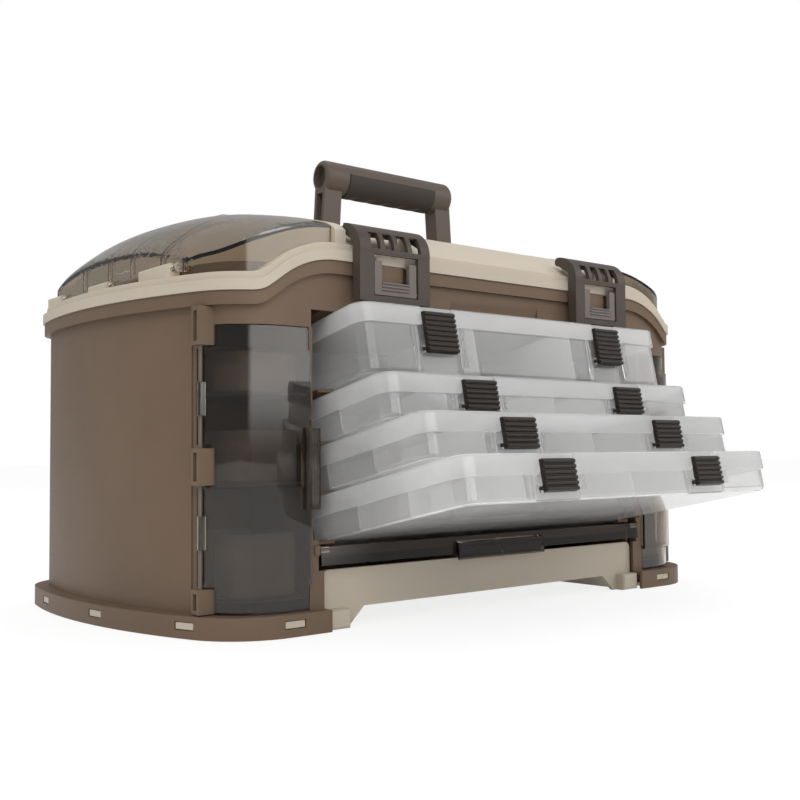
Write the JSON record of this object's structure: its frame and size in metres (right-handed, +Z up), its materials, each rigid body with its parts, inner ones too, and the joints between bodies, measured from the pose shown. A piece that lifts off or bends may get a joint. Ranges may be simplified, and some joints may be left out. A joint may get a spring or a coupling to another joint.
{
  "type": "fishing tackle cabinet",
  "caption": "Portable tackle cabinet with slide-out utility boxes, clear corner doors, twin domed lids and a fold-down carry handle.",
  "frame": {"origin": "on the ground under the front pillars, centred across the width", "axes": "+X to the cabinet's right seen from the front, +Y to the rear, +Z up"},
  "size_m": [0.6, 0.4884, 0.401],
  "materials": {
    "taupe_plastic": "satin moulded",
    "cream_plastic": "satin moulded",
    "smoked_clear_plastic": "clear, smoked",
    "milky_clear_plastic": "translucent, milky",
    "black_plastic": "ribbed",
    "dark_grey_plastic": "satin",
    "handle_plastic": "satin",
    "soft_grip": "soft",
    "steel": "plain rod"
  },
  "bodies": {
    "cabinet": {"body_shell": "taupe_plastic", "base_pan": "cream_plastic", "left_rack_panel": "taupe_plastic", "right_rack_panel": "taupe_plastic", "rack_back_wall": "taupe_plastic", "rack_cross_rail": "taupe_plastic", "bulk_tray": "taupe_plastic", "left_compartment_liner": "taupe_plastic", "right_compartment_liner": "taupe_plastic", "left_compartment_bins": "milky_clear_plastic", "right_compartment_bins": "milky_clear_plastic", "front_bin": "taupe_plastic", "front_latch_catches": "taupe_plastic", "front_bin_door_pins": "steel", "corner_door_pins": "steel", "lid_hinge_rods": "steel"},
    "lid": {"lid_frame": "cream_plastic", "left_lid_tray": "taupe_plastic", "right_lid_tray": "taupe_plastic", "dome_hinge_rods": "steel", "handle_pivot_pins": "steel", "front_latch_pins": "steel"},
    "left_dome": {"left_dome": "smoked_clear_plastic"},
    "right_dome": {"right_dome": "smoked_clear_plastic"},
    "handle": {"handle_frame": "handle_plastic", "handle_grip": "soft_grip"},
    "left_latch_cover": {"left_latch_cover": "dark_grey_plastic"},
    "right_latch_cover": {"right_latch_cover": "dark_grey_plastic"},
    "left_latch_plate": {"left_latch_plate": "dark_grey_plastic"},
    "right_latch_plate": {"right_latch_plate": "dark_grey_plastic"},
    "left_corner_door": {"left_corner_door": "smoked_clear_plastic"},
    "right_corner_door": {"right_corner_door": "smoked_clear_plastic"},
    "front_bin_door": {"front_bin_door": "smoked_clear_plastic"},
    "top_box": {"top_box_tray": "milky_clear_plastic", "top_box_lid": "milky_clear_plastic", "top_box_dividers": "milky_clear_plastic"},
    "top_box_left_latch": {"top_box_left_latch": "black_plastic"},
    "top_box_right_latch": {"top_box_right_latch": "black_plastic"},
    "second_box": {"second_box_tray": "milky_clear_plastic", "second_box_lid": "milky_clear_plastic", "second_box_dividers": "milky_clear_plastic"},
    "second_box_left_latch": {"second_box_left_latch": "black_plastic"},
    "second_box_right_latch": {"second_box_right_latch": "black_plastic"},
    "third_box": {"third_box_tray": "milky_clear_plastic", "third_box_lid": "milky_clear_plastic", "third_box_dividers": "milky_clear_plastic"},
    "third_box_left_latch": {"third_box_left_latch": "black_plastic"},
    "third_box_right_latch": {"third_box_right_latch": "black_plastic"},
    "bottom_box": {"bottom_box_tray": "milky_clear_plastic", "bottom_box_lid": "milky_clear_plastic", "bottom_box_dividers": "milky_clear_plastic"},
    "bottom_box_left_latch": {"bottom_box_left_latch": "black_plastic"},
    "bottom_box_right_latch": {"bottom_box_right_latch": "black_plastic"}
  },
  "joints": [
    {"name": "lid_hinge", "type": "hinge", "parent": "cabinet", "child": "lid", "pos_m": [0, 0.331, 0.27515], "axis": [-1, 0, 0], "range_deg": [0, 95]},
    {"name": "left_dome_hinge", "type": "hinge", "parent": "lid", "child": "left_dome", "pos_m": [-0.27, 0, 0.268], "axis": [0, -1, 0], "range_deg": [0, 88]},
    {"name": "right_dome_hinge", "type": "hinge", "parent": "lid", "child": "right_dome", "pos_m": [0.27, 0, 0.268], "axis": [0, 1, 0], "range_deg": [0, 88]},
    {"name": "handle_pivot", "type": "hinge", "parent": "lid", "child": "handle", "pos_m": [0, 0.1495, 0.322], "axis": [-1, 0, 0], "range_deg": [0, 90]},
    {"name": "left_latch_cover_hinge", "type": "hinge", "parent": "lid", "child": "left_latch_cover", "pos_m": [-0.121, 0.006, 0.303], "axis": [-1, 0, 0], "range_deg": [0, 100]},
    {"name": "left_latch_plate_hinge", "type": "hinge", "parent": "left_latch_cover", "child": "left_latch_plate", "pos_m": [-0.121, -0.0123, 0.2536], "axis": [1, 0, 0], "range_deg": [0, 40]},
    {"name": "left_corner_door_hinge", "type": "hinge", "parent": "cabinet", "child": "left_corner_door", "pos_m": [-0.2655, 0.0315, 0.125], "axis": [0, 0, -1], "range_deg": [0, 120]},
    {"name": "right_latch_cover_hinge", "type": "hinge", "parent": "lid", "child": "right_latch_cover", "pos_m": [0.121, 0.006, 0.303], "axis": [-1, 0, 0], "range_deg": [0, 100]},
    {"name": "right_latch_plate_hinge", "type": "hinge", "parent": "right_latch_cover", "child": "right_latch_plate", "pos_m": [0.121, -0.0123, 0.2536], "axis": [1, 0, 0], "range_deg": [0, 40]},
    {"name": "right_corner_door_hinge", "type": "hinge", "parent": "cabinet", "child": "right_corner_door", "pos_m": [0.2655, 0.0315, 0.125], "axis": [0, 0, 1], "range_deg": [0, 120]},
    {"name": "front_bin_door_hinge", "type": "hinge", "parent": "cabinet", "child": "front_bin_door", "pos_m": [0, 0.0008, 0.059], "axis": [-1, 0, 0], "range_deg": [0, 60]},
    {"name": "top_box_slide", "type": "slide", "parent": "cabinet", "child": "top_box", "axis": [0, -0.9799, 0.1994], "range_m": [-0.0507, 0.1343]},
    {"name": "second_box_slide", "type": "slide", "parent": "cabinet", "child": "second_box", "axis": [0, -0.9799, 0.1994], "range_m": [-0.0836, 0.1014]},
    {"name": "third_box_slide", "type": "slide", "parent": "cabinet", "child": "third_box", "axis": [0, -0.9799, 0.1994], "range_m": [-0.1242, 0.0608]},
    {"name": "bottom_box_slide", "type": "slide", "parent": "cabinet", "child": "bottom_box", "axis": [0, -0.9799, 0.1994], "range_m": [-0.1621, 0.0229]},
    {"name": "top_box_left_latch_hinge", "type": "hinge", "parent": "top_box", "child": "top_box_left_latch", "pos_m": [-0.0986, -0.04065, 0.20849], "axis": [1, 0, 0], "range_deg": [0, 90]},
    {"name": "top_box_right_latch_hinge", "type": "hinge", "parent": "top_box", "child": "top_box_right_latch", "pos_m": [0.0986, -0.04065, 0.20849], "axis": [1, 0, 0], "range_deg": [0, 90]},
    {"name": "second_box_left_latch_hinge", "type": "hinge", "parent": "second_box", "child": "second_box_left_latch", "pos_m": [-0.0867, -0.07114, 0.16397], "axis": [1, 0, 0], "range_deg": [0, 90]},
    {"name": "second_box_right_latch_hinge", "type": "hinge", "parent": "second_box", "child": "second_box_right_latch", "pos_m": [0.0867, -0.07114, 0.16397], "axis": [1, 0, 0], "range_deg": [0, 90]},
    {"name": "third_box_left_latch_hinge", "type": "hinge", "parent": "third_box", "child": "third_box_left_latch", "pos_m": [-0.0867, -0.11093, 0.13492], "axis": [1, 0, 0], "range_deg": [0, 90]},
    {"name": "third_box_right_latch_hinge", "type": "hinge", "parent": "third_box", "child": "third_box_right_latch", "pos_m": [0.0867, -0.11093, 0.13492], "axis": [1, 0, 0], "range_deg": [0, 90]},
    {"name": "bottom_box_left_latch_hinge", "type": "hinge", "parent": "bottom_box", "child": "bottom_box_left_latch", "pos_m": [-0.0867, -0.14797, 0.10532], "axis": [1, 0, 0], "range_deg": [0, 90]},
    {"name": "bottom_box_right_latch_hinge", "type": "hinge", "parent": "bottom_box", "child": "bottom_box_right_latch", "pos_m": [0.0867, -0.14797, 0.10532], "axis": [1, 0, 0], "range_deg": [0, 90]}
  ]
}
